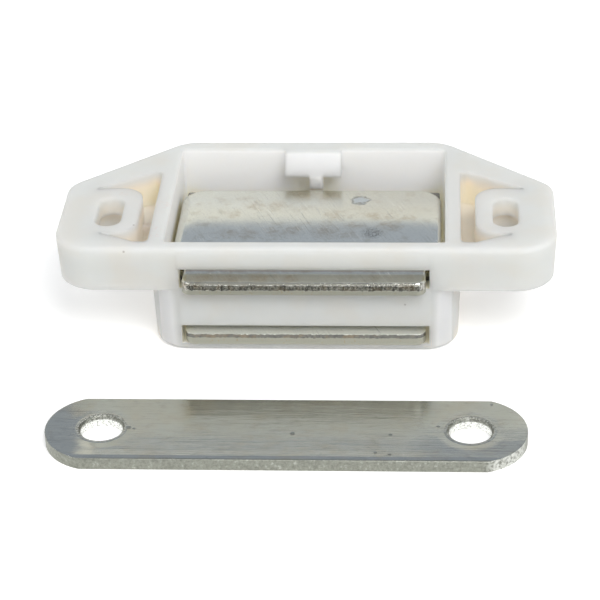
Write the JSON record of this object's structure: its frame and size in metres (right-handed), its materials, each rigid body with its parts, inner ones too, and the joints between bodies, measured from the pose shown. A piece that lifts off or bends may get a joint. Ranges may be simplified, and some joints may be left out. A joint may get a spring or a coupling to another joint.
{
  "type": "magnetic catch",
  "caption": "Cupboard magnetic catch: moulded housing with slotted ears, floating magnet pack with steel pole plates, and a separate flat strike plate.",
  "frame": {"origin": "middle of the closed bottom of the housing", "axes": "+X along the length between the ears, +Y from the pole tips to the back, +Z from the closed bottom to the open mounting side"},
  "size_m": [0.056, 0.0495, 0.0132],
  "materials": {
    "housing_plastic": "natural off-white moulded plastic, slightly see-through, semi-gloss",
    "pole_steel": "zinc plated, scratched, pale yellow-grey",
    "ferrite": "dark grey sintered ferrite",
    "strike_steel": "brushed along its length, dull grey-beige"
  },
  "bodies": {
    "housing": {"housing": "housing_plastic", "strike_plate": "strike_steel"},
    "magnet_pack": {"upper_pole_plate": "pole_steel", "lower_pole_plate": "pole_steel", "magnet": "ferrite"}
  },
  "joints": [
    {"name": "pack_float", "type": "slide", "parent": "housing", "child": "magnet_pack", "axis": [0, 1, 0], "range_m": [-0.00085, 0.00085]}
  ]
}
